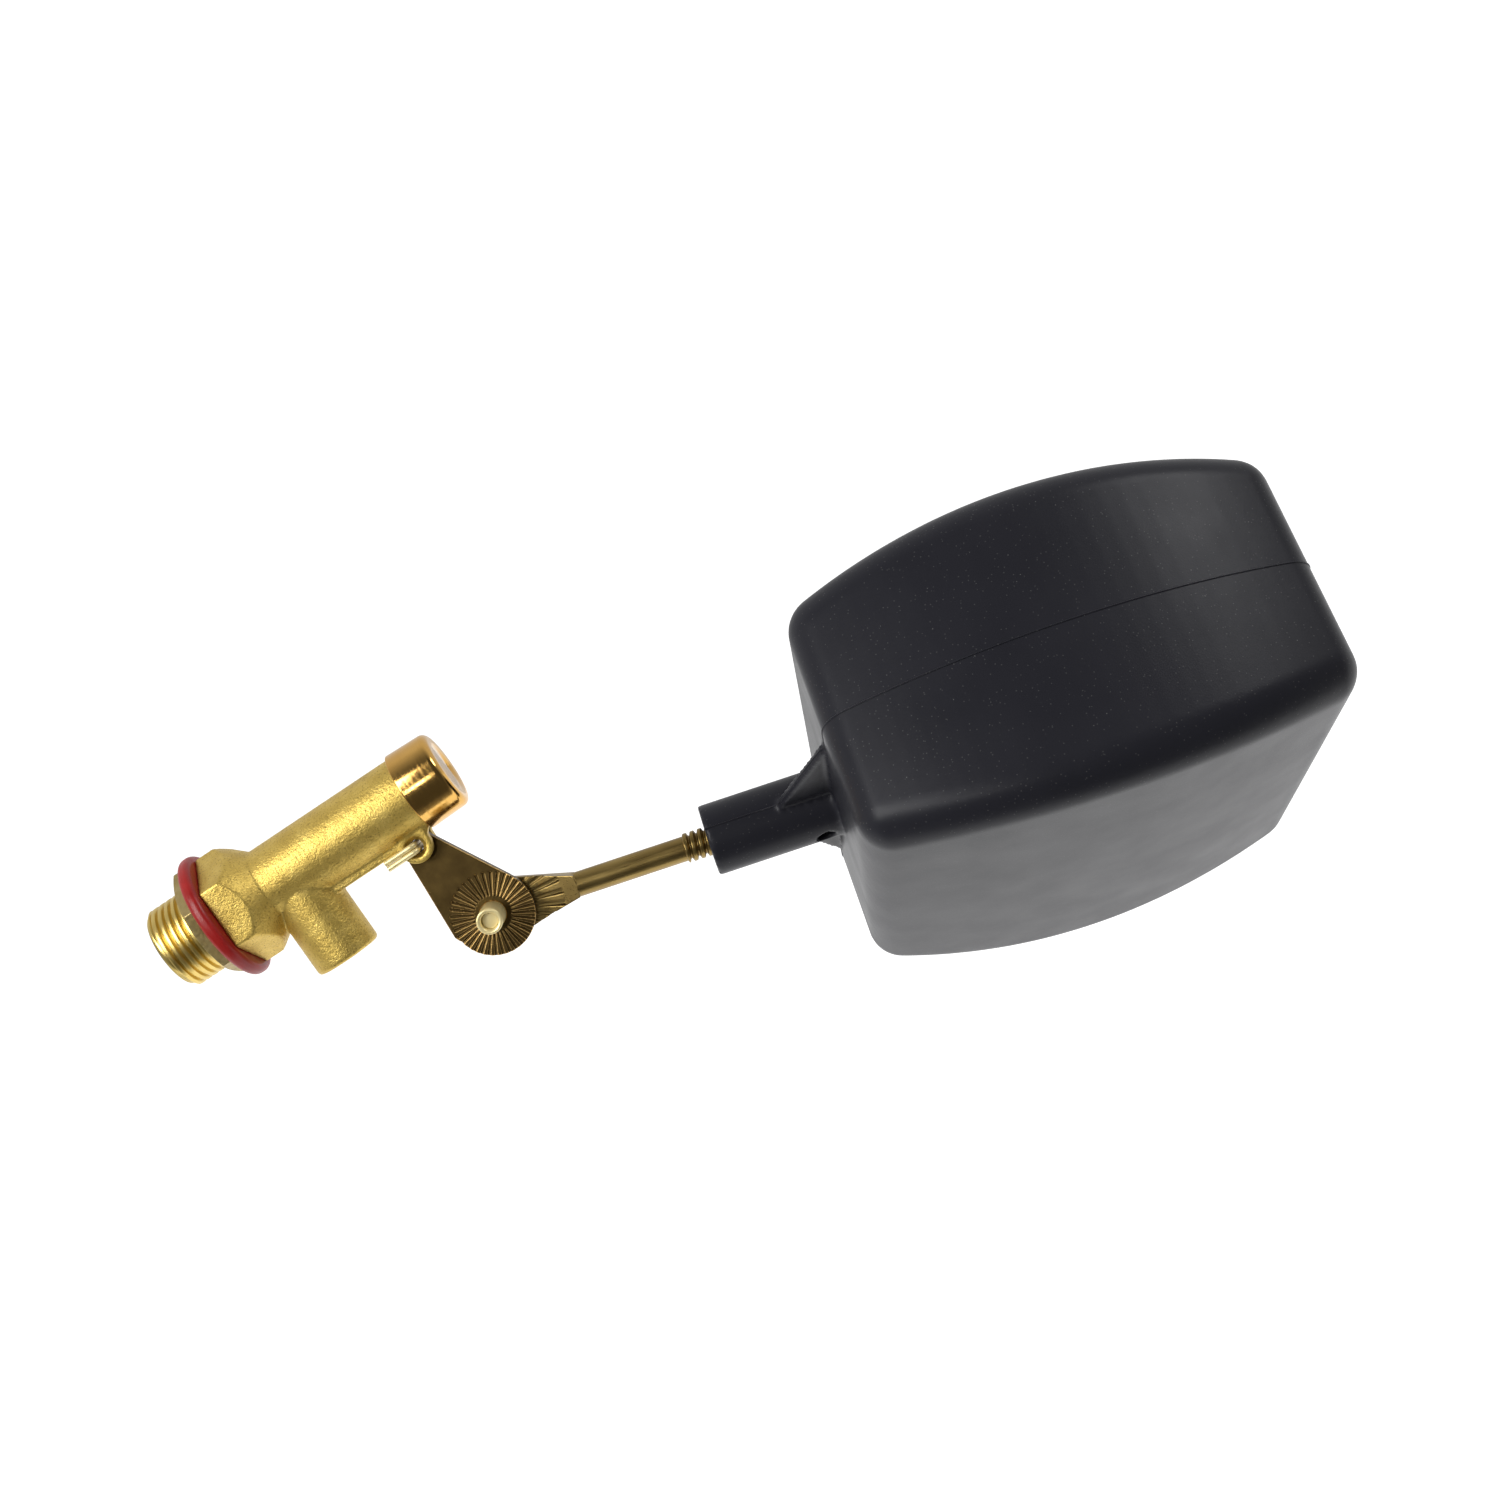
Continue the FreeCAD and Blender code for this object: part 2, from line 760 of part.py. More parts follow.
def cotter_path():
    """The bent wire: one leg, the split shank's first half, the eye, the second half, the other leg."""
    place, drop = SIZES["pivot_place"], SIZES["pivot_drop"]
    offset, eye, bend = SIZES["wire_offset"], SIZES["pin_eye"], SIZES["leg_bend"]
    flare = SIZES["eye_flare"]
    front = -SIZES["ear_outside"] - SIZES["wire_dia"] / 2 - SIZES["leg_gap"]
    back = SIZES["ear_outside"] + SIZES["eye_gap"]
    centre = back + math.sqrt((eye + flare) ** 2 - (offset + flare) ** 2)
    lean = math.atan2(offset + flare, centre - back)
    flare_turn = (math.pi / 2 - lean) / 2
    eye_turn = (math.pi - lean) / 2
    corner_cut = bend * (1 - math.sqrt(0.5))

    def spot(across, along, up):
        return FreeCAD.Vector(place + across, along, -drop + up)

    def half(side):
        """Edges of one leg from its tip to the top of the eye; side is +1 above or -1 below."""
        tip = spot(-SIZES["leg_length"], front, side * offset)
        bend_start = spot(-bend, front, side * offset)
        bend_mid = spot(-corner_cut, front + corner_cut, side * offset)
        bend_end = spot(0, front + bend, side * offset)
        shank_end = spot(0, back, side * offset)
        outer = offset + flare
        join = spot(0, back + flare * math.cos(lean), side * (outer - flare * math.sin(lean)))
        curl = spot(0, back + flare * math.sin(flare_turn), side * (outer - flare * math.cos(flare_turn)))
        eye_mid = spot(0, centre + eye * math.cos(eye_turn), side * eye * math.sin(eye_turn))
        eye_end = spot(0, centre + eye, 0)
        return [
            Part.makeLine(tip, bend_start),
            Part.Arc(bend_start, bend_mid, bend_end).toShape(),
            Part.makeLine(bend_end, shank_end),
            Part.Arc(shank_end, curl, join).toShape(),
            Part.Arc(join, eye_mid, eye_end).toShape(),
        ]

    return Part.Wire(Part.__sortEdges__(half(1) + half(-1)))


def make_cotter_pin():
    path = doc.addObject("Part::Feature", "cotter_route")
    path.Shape = cotter_path()
    section = doc.addObject("Part::Circle", "cotter_section")
    bind(section, "Radius", "wire_dia / 2")
    start = path.Shape.OrderedVertexes[0].Point
    heading = path.Shape.OrderedEdges[0]
    direction = heading.tangentAt(heading.FirstParameter)
    section.Placement = FreeCAD.Placement(start, FreeCAD.Rotation(FreeCAD.Vector(0, 0, 1), direction))
    pin = doc.addObject("Part::Sweep", "cotter_pin")
    pin.Label = "cotter_pin"
    pin.Sections = [section]
    pin.Spine = (path, [f"Edge{index}" for index in range(1, len(path.Shape.Edges) + 1)])
    pin.Solid = True
    doc.recompute()
    return pin


# ---------------------------------------------------------------- arm


def set_on_arm(body, roll="0"):
    """Move a piece drawn along +X from the clamp to the tilted arm, rolled about the arm's axis."""
    slope = "rotation(vector(0; 1; 0); arm_slope)"
    spin = f"rotation(vector(1; 0; 0); -{roll})"
    bind(body, "Placement", f"placement(vector(clamp_place; arm_offset; -clamp_drop); {slope} * {spin})")
    doc.recompute()


PADDLE_NEAR_FACE = "(paddle_near - arm_offset)"
PADDLE_FAR_FACE = "(paddle_far - arm_offset)"


def make_float_rod():
    body = new_body("float_rod")
    shank = new_sketch(body, "rod_outline", "XZ_Plane")
    polygon(
        shank,
        [
            ("paddle_taper_end - overcut", "0"),
            ("paddle_taper_end - overcut", "rod_dia / 2"),
            ("rod_end - rod_chamfer", "rod_dia / 2"),
            ("rod_end", "rod_dia / 2 - rod_chamfer"),
            ("rod_end", "0"),
        ],
    )
    revolve(body, shank, "X_Axis")
    add_paddle(body)
    cut_paddle_teeth(body)
    add_rod_thread(body)
    set_on_arm(body)
    return body


def add_paddle(body):
    """The rod's flattened end: a round that tapers into the rod, trimmed on both faces and bored."""
    plan = new_sketch(body, "paddle_plan", "XZ_Plane")
    lean = "asin((paddle_round - rod_dia / 2) / paddle_taper_end)"
    polygon(
        plan,
        [
            (f"paddle_round * sin({lean})", f"paddle_round * cos({lean})"),
            (f"paddle_round * sin({lean})", f"-paddle_round * cos({lean})"),
            ("paddle_taper_end", "-paddle_neck / 2"),
            ("paddle_taper_end", "paddle_neck / 2"),
        ],
    )
    pad(body, plan, "rod_dia")
    end = new_sketch(body, "paddle_end", "XZ_Plane")
    circle(end, "0", "0", "paddle_round")
    pad(body, end, "rod_dia")
    for name, face, side in (("near", PADDLE_NEAR_FACE, "-"), ("far", PADDLE_FAR_FACE, "")):
        trim = new_sketch(body, f"paddle_{name}_trim", "XY_Plane")
        polygon(
            trim,
            [
                ("-2 * paddle_round", face),
                ("paddle_taper_start", face),
                ("paddle_taper_end", f"{side}rod_dia / 2"),
                ("paddle_taper_end", f"{side}rod_dia"),
                ("-2 * paddle_round", f"{side}rod_dia"),
            ],
        )
        pocket(body, trim, "4 * paddle_round")
    hole = new_sketch(body, "paddle_hole", "XZ_Plane")
    circle(hole, "0", "0", "screw_dia / 2 + paddle_clearance")
    pocket(body, hole, "2 * rod_dia")


def cut_paddle_teeth(body):
    """Radial grooves, cut from outside down to one depth, so they run on into the shoulder of the rod."""
    tooth = new_sketch(body, "paddle_tooth", "XZ_Plane", f"-({PADDLE_NEAR_FACE} + tooth_depth)")
    polygon(
        tooth,
        [
            ("tooth_start", "-tooth_width / 4"),
            ("paddle_groove_end", "-paddle_groove_width / 2"),
            ("paddle_groove_end", "paddle_groove_width / 2"),
            ("tooth_start", "tooth_width / 4"),
        ],
    )
    cut = pocket(body, tooth, "rod_dia", "One side", reverse=True)
    repeat_around(body, cut, tooth, "tooth_count")


def add_rod_thread(body):
    """Rings in place of the helix, each a ridge with a flat crest."""
    ridge = new_sketch(body, "rod_thread_ridge", "XZ_Plane")
    crest_end = "(ridge_flank + ridge_crest)"
    ridge_end = "(2 * ridge_flank + ridge_crest)"
    polygon(
        ridge,
        [
            ("rod_thread_start", "rod_dia / 2 - ridge_root"),
            ("rod_thread_start + ridge_flank * rod_thread_pitch", "rod_thread_dia / 2"),
            (f"rod_thread_start + {crest_end} * rod_thread_pitch", "rod_thread_dia / 2"),
            (f"rod_thread_start + {ridge_end} * rod_thread_pitch", "rod_dia / 2 - ridge_root"),
        ],
    )
    turned = revolve(body, ridge, "X_Axis")
    repeat_along(body, turned, "X_Axis", "rod_thread_pitch", "rod_thread_turns")


# ---------------------------------------------------------------- float


def barrel(sketch, start, stop, end_half, bulge):
    """A box outline with flat ends and two bowed sides, each an arc that bulges at mid length."""
    first = SIZES["float_start"]
    length = SIZES["float_length"]
    half = SIZES["float_deep_end"]
    rise = SIZES["float_deep_bulge"]
    corner = FreeCAD.Vector
    near_end = sketch.addGeometry(Part.LineSegment(corner(first, half, 0), corner(first, -half, 0)), False)
    far_end = sketch.addGeometry(
        Part.LineSegment(corner(first + length, -half, 0), corner(first + length, half, 0)), False
    )
    middle = first + length / 2
    low = Part.Arc(corner(first, -half, 0), corner(middle, -half - rise, 0), corner(first + length, -half, 0))
    top = Part.Arc(corner(first + length, half, 0), corner(middle, half + rise, 0), corner(first, half, 0))
    low_side = sketch.addGeometry(low, False)
    top_side = sketch.addGeometry(top, False)
    locate(sketch, near_end, 1, start, end_half)
    locate(sketch, near_end, 2, start, f"-({end_half})")
    locate(sketch, far_end, 1, stop, f"-({end_half})")
    locate(sketch, far_end, 2, stop, end_half)
    joins = (
        (near_end, 2, low_side, 1),
        (low_side, 2, far_end, 1),
        (far_end, 2, top_side, 1),
        (top_side, 2, near_end, 1),
    )
    for join in joins:
        sketch.addConstraint(Sketcher.Constraint("Coincident", *join))
    chord = f"(({stop}) - ({start})) / 2"
    radius = f"({chord} * {chord} + {bulge} * {bulge}) / (2 * {bulge})"
    drawn = (length**2 / 4 + rise**2) / (2 * rise)
    for side in (low_side, top_side):
        index = sketch.addConstraint(Sketcher.Constraint("Radius", side, drawn))
        bind(sketch, f"Constraints[{index}]", radius)


def make_barrel_body(label, shrink):
    """The float's solid form, every face moved inwards by shrink, with all its edges rounded."""
    body = new_body(label)
    start = f"float_start + {shrink}"
    stop = f"float_start + float_length - {shrink}"
    plan = new_sketch(body, label + "_plan", "XY_Plane")
    barrel(plan, start, stop, f"float_deep_end - {shrink}", "float_deep_bulge")
    pad(body, plan, "2 * (float_wide_end + float_wide_bulge)")
    side = new_sketch(body, label + "_side", "XZ_Plane")
    barrel(side, start, stop, f"float_wide_end - {shrink}", "float_wide_bulge")
    margin = "2 * float_length"
    polygon(
        side,
        [
            (f"-{margin}", f"-{margin}"),
            (margin, f"-{margin}"),
            (margin, margin),
            (f"-{margin}", margin),
        ],
    )
    pocket(body, side, "4 * float_deep_end")
    soften(body, f"float_round - {shrink}", lambda edge: True)
    return body


def make_float():
    shell = make_barrel_body("float_outer_form", "0")
    for name, side in (("upper", ""), ("lower", "-")):
        web = new_sketch(shell, f"{name}_web", "XY_Plane")
        polygon(
            web,
            [
                ("web_start", f"{side}(neck_dia / 2 - web_lap)"),
                ("float_start + web_lap", f"{side}(neck_dia / 2 - web_lap)"),
                ("float_start + web_lap", f"{side}web_reach"),
                ("float_start - web_lap", f"{side}web_reach"),
            ],
        )
        pad(shell, web, "web_thick")
    neck = new_sketch(shell, "neck_outline", "YZ_Plane", "neck_start")
    circle(neck, "0", "0", "neck_dia / 2")
    pad(shell, neck, "float_start - neck_start + float_wall", "One side")
    bore = new_sketch(shell, "neck_bore_outline", "YZ_Plane", "neck_start")
    circle(bore, "0", "0", "neck_bore / 2")
    pocket(shell, bore, "neck_depth", "One side", reverse=True)
    drain = new_sketch(shell, "drain_outline", "XY_Plane")
    circle(drain, "drain_place", "0", "drain_dia / 2")
    pocket(shell, drain, "neck_dia", "One side")
    cavity = make_barrel_body("float_cavity_form", "float_wall")
    hollow = doc.addObject("Part::Cut", "float_shell")
    hollow.Label = "float_shell"
    hollow.Base = shell
    hollow.Tool = cavity
    doc.recompute()
    set_on_arm(hollow, "float_roll")
    return hollow


# ---------------------------------------------------------------- build and write

SUBPARTS = [
    make_valve_body(),
    make_locknut(),
    make_sealing_washer(),
    make_end_cap(),
    make_seat_disc(),
    make_plunger(),
    make_lever_plate(),
    make_clinch_nut(),
    make_clamp_screw(),
    make_spring_washer(),
    make_cotter_pin(),
    make_float_rod(),
    make_float(),
]
doc.recompute()

for item in doc.Objects:
    if "Invalid" in item.State or "Error" in item.State:
        raise RuntimeError(f"{item.Label} failed: {item.State}")
for item in SUBPARTS:
    if item.Shape.isNull() or not item.Shape.isValid():
        raise RuntimeError(f"{item.Label} has no valid shape")

os.makedirs("parts", exist_ok=True)
for item in SUBPARTS:
    item.Shape.exportStep(f"parts/{item.Label}.step")
    print(f"{item.Label}: {item.Shape.Volume:.1f} mm3, {len(item.Shape.Solids)} solid")
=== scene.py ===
import math

import bmesh
import bpy
from mathutils import Matrix, Vector


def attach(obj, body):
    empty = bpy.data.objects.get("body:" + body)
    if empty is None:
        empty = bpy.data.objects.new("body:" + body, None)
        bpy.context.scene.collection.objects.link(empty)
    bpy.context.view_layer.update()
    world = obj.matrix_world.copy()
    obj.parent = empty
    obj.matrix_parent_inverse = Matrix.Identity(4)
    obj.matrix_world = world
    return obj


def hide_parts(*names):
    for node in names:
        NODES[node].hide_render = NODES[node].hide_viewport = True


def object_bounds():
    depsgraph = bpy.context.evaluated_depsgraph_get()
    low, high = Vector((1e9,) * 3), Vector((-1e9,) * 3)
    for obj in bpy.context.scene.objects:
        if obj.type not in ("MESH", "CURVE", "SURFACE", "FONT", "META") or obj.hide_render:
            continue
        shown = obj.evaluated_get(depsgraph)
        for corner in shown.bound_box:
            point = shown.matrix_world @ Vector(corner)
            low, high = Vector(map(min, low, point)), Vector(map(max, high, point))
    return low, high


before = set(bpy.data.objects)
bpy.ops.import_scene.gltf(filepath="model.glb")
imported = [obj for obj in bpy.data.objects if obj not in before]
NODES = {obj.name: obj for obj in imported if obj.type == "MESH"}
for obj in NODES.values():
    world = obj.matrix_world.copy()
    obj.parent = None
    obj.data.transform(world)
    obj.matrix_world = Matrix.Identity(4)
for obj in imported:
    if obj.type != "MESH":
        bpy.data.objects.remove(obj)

# Lengths are in metres, in the valve's own frame: X along the valve, Z up, Y along the lever's pivot.
MM = 0.001
JOIN_DISTANCE = 0.001 * MM
TIP_RADIUS = 0.01 * MM
CAD_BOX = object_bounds()

# inlet thread and the casting behind it
THREAD_RADIUS = 10.45 * MM
THREAD_ROOT = 9.45 * MM
THREAD_PITCH = 1.814 * MM
THREAD_LENGTH = 16.5 * MM
THREAD_COVERED = 6.6 * MM
THREAD_STEP = 0.12 * MM
THREAD_FULLNESS = 1.9
THREAD_STEEPNESS = 4.4
INLET_RADIUS = 5.3 * MM
INLET_LIP = 0.4 * MM
STUB_INSET = 0.4 * MM

# end cap
CAP_RIM = 51.1 * MM
CAP_END = 61.9 * MM
CAP_RADIUS = 10.15 * MM
CAP_TAPER = 0.25 * MM
CAP_ROUND = 1.8 * MM
CAP_WALL = 0.8 * MM
CAP_LIP = 0.3 * MM

# clamp, and the arm that slopes down from it
CLAMP = Vector((51.1, 0, -35.1)) * MM
STUD_RADIUS = 3.1 * MM
STUD_HOLE = 2.0 * MM
STUD_FRONT = -11.0 * MM
STUD_BACK = 1.3 * MM
STUD_LIP = 0.35 * MM
ARM_OFFSET = 1.1 * MM
ARM_SLOPE = math.radians(15.4)
ROD_THREAD_START = 48.4 * MM
ROD_THREAD_END = 79.5 * MM
ROD_THREAD_PITCH = 1.87 * MM
ROD_THREAD_RADIUS = 3.6 * MM
ROD_THREAD_ROOT = 2.75 * MM
ROD_THREAD_LEAD = 0.5 * MM
ROD_THREAD_STEP = 0.13 * MM

# float
FLOAT_ROLL = math.radians(28)
SEAM_RADIUS = 0.2 * MM
NECK_BORE = 3.72 * MM
BORE_MARGIN = 0.6 * MM
BORE_END = 84 * MM

# the valve is held by its inlet and stands on nothing, so the floor is well below it
FLOOR_DROP = 0.25
FLOOR_HALF = 6.0
FLOOR_FRONT = -0.12
FLOOR_GLOW = 0.7

# camera: where the photograph was taken from
CAMERA_SPOT = Vector((127.4, -415.8, 8.1)) * MM
CAMERA_AZIMUTH = math.radians(0.5)
CAMERA_ELEVATION = math.radians(6.14)
CAMERA_ROLL = math.radians(33.7)
CAMERA_LENS = 42.0
CAMERA_CLIP = 0.01

# light: the white world as the camera sees it, its strength from front to back, and the softboxes
WORLD_SEEN = 1.15
WORLD_FALLOFF = {"From Min": -0.6, "From Max": 0.2, "To Min": 0.08, "To Max": 0.80}
SOFTBOXES = (
    # name, place, size, watts
    ("key", (-0.30, -0.56, 0.36), 0.42, 6),
    ("stripe", (-0.06, -0.64, 0.07), 0.08, 0.3),
    ("right", (0.95, -0.35, 0.45), 0.30, 3),
)

# CAD nodes that stay in view as they are, and what they are made of
REPAINTED = {
    "sealing_washer": "red_rubber",
    "cotter_pin": "pale_brass",
    "spring_washer": "pale_brass",
    "plunger": "machined_brass",
    "seat_disc": "black_rubber",
}

ARM_FRAME = Matrix.Translation(CLAMP + Vector((0, ARM_OFFSET, 0))) @ Matrix.Rotation(ARM_SLOPE, 4, "Y")
FLOAT_FRAME = ARM_FRAME @ Matrix.Rotation(-FLOAT_ROLL, 4, "X")


# ---------------------------------------------------------------- materials


class Look:
    """A procedural material, put together from textures that are placed in the piece's own space."""

    def __init__(self, name, **shader_values):
        self.material = bpy.data.materials.new(name)
        self.material.use_nodes = True
        self.tree = self.material.node_tree
        self.shader = self.tree.nodes["Principled BSDF"]
        for socket, value in shader_values.items():
            self.shader.inputs[socket.replace("_", " ")].default_value = value
        self.place = self.tree.nodes.new("ShaderNodeTexCoord").outputs["Object"]

    def join(self, output, socket):
        self.tree.links.new(output, socket)

    def noise(self, size, detail=4, stretch=(1, 1, 1)):
        """Soft noise whose features are about size across, drawn out along each axis by stretch."""
        scaled = self.tree.nodes.new("ShaderNodeMapping")
        scaled.inputs["Scale"].default_value = [1 / (size * part) for part in stretch]
        self.join(self.place, scaled.inputs["Vector"])
        texture = self.tree.nodes.new("ShaderNodeTexNoise")
        texture.inputs["Scale"].default_value = 1
        texture.inputs["Detail"].default_value = detail
        self.join(scaled.outputs["Vector"], texture.inputs["Vector"])
        return texture.outputs["Fac"]

    def specks(self, spacing, size):
        """1 on small round specks and 0 between them."""
        texture = self.tree.nodes.new("ShaderNodeTexVoronoi")
        texture.inputs["Scale"].default_value = 1 / spacing
        self.join(self.place, texture.inputs["Vector"])
        return self.ranged(texture.outputs["Distance"], (size, 0.6 * size), (0, 1))

    def edges(self):
        """Below a half in hollows and above it on edges, on a dense mesh."""
        return self.tree.nodes.new("ShaderNodeNewGeometry").outputs["Pointiness"]

    def ranged(self, value, taken, given):
        node = self.tree.nodes.new("ShaderNodeMapRange")
        for socket, number in zip(("From Min", "From Max", "To Min", "To Max"), (*taken, *given)):
            node.inputs[socket].default_value = number
        self.join(value, node.inputs["Value"])
        return node.outputs["Result"]

    def ramp(self, value, stops):
        """A colour from evenly spaced stops."""
        node = self.tree.nodes.new("ShaderNodeValToRGB")
        points = node.color_ramp.elements
        while len(points) < len(stops):
            points.new(0.5)
        for index, (point, colour) in enumerate(zip(points, stops)):
            point.position = index / (len(stops) - 1)
            point.color = (*colour, 1)
        self.join(value, node.inputs["Fac"])
        return node.outputs["Color"]

    def blend(self, share, under, over):
        node = self.tree.nodes.new("ShaderNodeMix")
        node.data_type = "RGBA"
        self.join(share, node.inputs["Factor"])
        # sockets 6 and 7 take a Mix node's colours, and output 2 gives the mixed one
        for socket, colour in ((node.inputs[6], under), (node.inputs[7], over)):
            if isinstance(colour, tuple):
                socket.default_value = (*colour, 1)
            else:
                self.join(colour, socket)
        return node.outputs[2]

    def bumps(self, *heights):
        """Raise the surface by several (value, depth in metres) pairs, one over another."""
        normal = None
        for value, depth in heights:
            node = self.tree.nodes.new("ShaderNodeBump")
            node.inputs["Distance"].default_value = depth
            self.join(value, node.inputs["Height"])
            if normal:
                self.join(normal, node.inputs["Normal"])
            normal = node.outputs["Normal"]
        self.join(normal, self.shader.inputs["Normal"])

    def paint(self, colour):
        self.join(colour, self.shader.inputs["Base Color"])

    def gloss(self, roughness):
        self.join(roughness, self.shader.inputs["Roughness"])


def cast_brass():
    """Sand casting: grainy, yellow where it stands proud and olive brown in its pits, with painted shade
    darkening its hollows.
    """
    look = Look("cast_brass", Metallic=0.8)
    grain = look.noise(0.4 * MM)
    patches = look.noise(4 * MM)
    colour = look.ramp(patches, [(0.40, 0.265, 0.052), (0.58, 0.41, 0.095), (0.74, 0.55, 0.155)])
    # painted shade: pointiness darkens the hollows towards olive brown, where shade would fall
    hollows = look.ranged(look.edges(), (0.38, 0.49), (0.85, 0))
    pitted = look.blend(look.ranged(grain, (0.44, 0.30), (0, 0.7)), colour, (0.17, 0.105, 0.028))
    look.paint(look.blend(hollows, pitted, (0.12, 0.072, 0.018)))
    look.gloss(look.ranged(grain, (0.3, 0.7), (0.52, 0.38)))
    look.bumps((look.noise(1.6 * MM), 0.08 * MM), (grain, 0.09 * MM))
    return look.material


def nut_brass():
    """The locknut's duller casting, in patches that run from brown to greyish tan."""
    look = Look("nut_brass", Metallic=0.8)
    grain = look.noise(0.6 * MM)
    look.paint(look.ramp(look.noise(3 * MM), [(0.20, 0.15, 0.075), (0.36, 0.27, 0.105), (0.48, 0.40, 0.22)]))
    look.gloss(look.ranged(grain, (0.3, 0.7), (0.34, 0.52)))
    look.bumps((grain, 0.06 * MM))
    return look.material


def machined_brass():
    """Fresh cut brass with fine turning marks around the X axis."""
    look = Look("machined_brass", Metallic=1.0)
    marks = look.noise(0.1 * MM, stretch=(1, 60, 60))
    look.paint(look.ramp(look.noise(4 * MM), [(0.58, 0.42, 0.115), (0.72, 0.55, 0.19)]))
    look.gloss(look.ranged(marks, (0.3, 0.7), (0.28, 0.40)))
    look.bumps((marks, 0.012 * MM))
    return look.material


def cap_brass():
    """Drawn cap, polished, with an orange lacquer and faint wipe marks."""
    look = Look("cap_brass", Metallic=1.0)
    wipes = look.noise(0.4 * MM, stretch=(1, 12, 12))
    look.paint(look.ramp(look.noise(6 * MM), [(0.56, 0.31, 0.075), (0.70, 0.42, 0.12)]))
    look.gloss(look.ranged(wipes, (0.3, 0.7), (0.10, 0.22)))
    look.bumps((look.noise(2.5 * MM, detail=2), 0.03 * MM), (wipes, 0.006 * MM))
    return look.material


def pale_brass():
    """Turned and drawn brass of the stud and the cotter pin."""
    look = Look("pale_brass", Metallic=0.5)
    marks = look.noise(0.15 * MM, stretch=(8, 1, 8))
    look.paint(look.ramp(look.noise(2 * MM), [(0.72, 0.58, 0.25), (0.88, 0.76, 0.42)]))
    look.gloss(look.ranged(marks, (0.3, 0.7), (0.28, 0.44)))
    look.bumps((marks, 0.012 * MM))
    return look.material


def dark_bronze():
    """Oxidised plate: brown and dull, worn to tan along its edges and on the crests of its teeth, with
    painted shade almost black in its hollows.
    """
    look = Look("dark_bronze", Metallic=0.97)
    stain = look.noise(4 * MM)
    scratch = look.noise(0.25 * MM, stretch=(1, 1, 14))
    colour = look.ramp(stain, [(0.050, 0.030, 0.009), (0.085, 0.054, 0.017), (0.14, 0.090, 0.028)])
    worn = look.blend(look.ranged(look.edges(), (0.515, 0.55), (0, 1)), colour, (0.75, 0.48, 0.17))
    # painted shade: pointiness darkens the plate almost to black in its hollows
    look.paint(look.blend(look.ranged(look.edges(), (0.40, 0.47), (0.9, 0)), worn, (0.035, 0.020, 0.007)))
    look.gloss(look.ranged(scratch, (0.3, 0.7), (0.34, 0.50)))
    look.bumps((scratch, 0.010 * MM), (look.noise(0.8 * MM), 0.02 * MM))
    return look.material


def rod_bronze():
    """Tarnished rod, drawn lengthways, with painted shade darkening its hollows."""
    look = Look("rod_bronze", Metallic=0.95)
    drawn = look.noise(0.2 * MM, stretch=(40, 1, 1))
    tarnish = look.noise(5 * MM, stretch=(2, 1, 1))
    colour = look.ramp(tarnish, [(0.14, 0.090, 0.028), (0.25, 0.172, 0.056), (0.37, 0.265, 0.093)])
    # painted shade: pointiness darkens the rod towards dark brown in its hollows
    look.paint(look.blend(look.ranged(look.edges(), (0.42, 0.49), (0.7, 0)), colour, (0.10, 0.06, 0.022)))
    look.gloss(look.ranged(drawn, (0.3, 0.7), (0.26, 0.42)))
    look.bumps((drawn, 0.012 * MM))
    return look.material


def red_rubber():
    """Glossy moulded rubber with a faint bloom."""
    look = Look("red_rubber", Specular_IOR_Level=0.3)
    bloom = look.noise(3 * MM)
    look.paint(look.ramp(bloom, [(0.20, 0.007, 0.006), (0.33, 0.012, 0.010)]))
    look.gloss(look.ranged(bloom, (0.3, 0.7), (0.30, 0.44)))
    look.bumps((look.noise(0.5 * MM), 0.015 * MM))
    return look.material


def black_rubber():
    """Matte rubber of the valve's seat disc."""
    look = Look("black_rubber")
    grain = look.noise(0.3 * MM)
    look.paint(look.ramp(grain, [(0.016, 0.016, 0.017), (0.034, 0.034, 0.035)]))
    look.gloss(look.ranged(grain, (0.3, 0.7), (0.55, 0.75)))
    look.bumps((grain, 0.02 * MM))
    return look.material


def black_plastic():
    """Satin moulded plastic, a little blue, with pale dust specks and a soft moulding ripple."""
    look = Look("black_plastic", Specular_IOR_Level=0.14)
    grain = look.noise(0.35 * MM)
    base = look.ramp(look.noise(18 * MM), [(0.012, 0.012, 0.016), (0.018, 0.018, 0.023)])
    dusty = look.blend(look.specks(1.1 * MM, 0.16), base, (0.045, 0.045, 0.047))
    look.paint(look.blend(look.specks(3 * MM, 0.05), dusty, (0.085, 0.085, 0.085)))
    look.gloss(look.ranged(look.noise(12 * MM), (0.3, 0.7), (0.33, 0.38)))
    look.bumps((look.noise(24 * MM, detail=0), 0.03 * MM), (grain, 0.018 * MM))
    return look.material


LOOKS = {
    make.__name__: make()
    for make in (
        cast_brass,
        nut_brass,
        machined_brass,
        cap_brass,
        pale_brass,
        dark_bronze,
        rod_bronze,
        red_rubber,
        black_rubber,
        black_plastic,
    )
}


# ---------------------------------------------------------------- shapes


def place(piece, look, body, slot, *nodes):
    """Give a finished piece its material, its body and the CAD nodes that it stands for, which it hides.
    slot is not used.
    """
    piece.data.materials.clear()
    piece.data.materials.append(LOOKS[look])
    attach(piece, body)
    if nodes:
        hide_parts(*nodes)
    return piece


def link(name, data, space=Matrix()):
    piece = bpy.data.objects.new(name, data)
    piece.matrix_world = space
    bpy.context.scene.collection.objects.link(piece)
    return piece


def mesh_from(form, name):
    mesh = bpy.data.meshes.new(name)
    bmesh.ops.recalc_face_normals(form, faces=form.faces)
    form.to_mesh(mesh)
    form.free()
    mesh.shade_smooth()
    return mesh


def joined_copy(node, space=Matrix()):
    """A CAD node's form with its split corners joined up, in the given space."""
    form = bmesh.new()
    form.from_mesh(NODES[node].data)
    bmesh.ops.remove_doubles(form, verts=form.verts, dist=JOIN_DISTANCE)
    bmesh.ops.transform(form, matrix=space.inverted(), verts=form.verts)
    return form


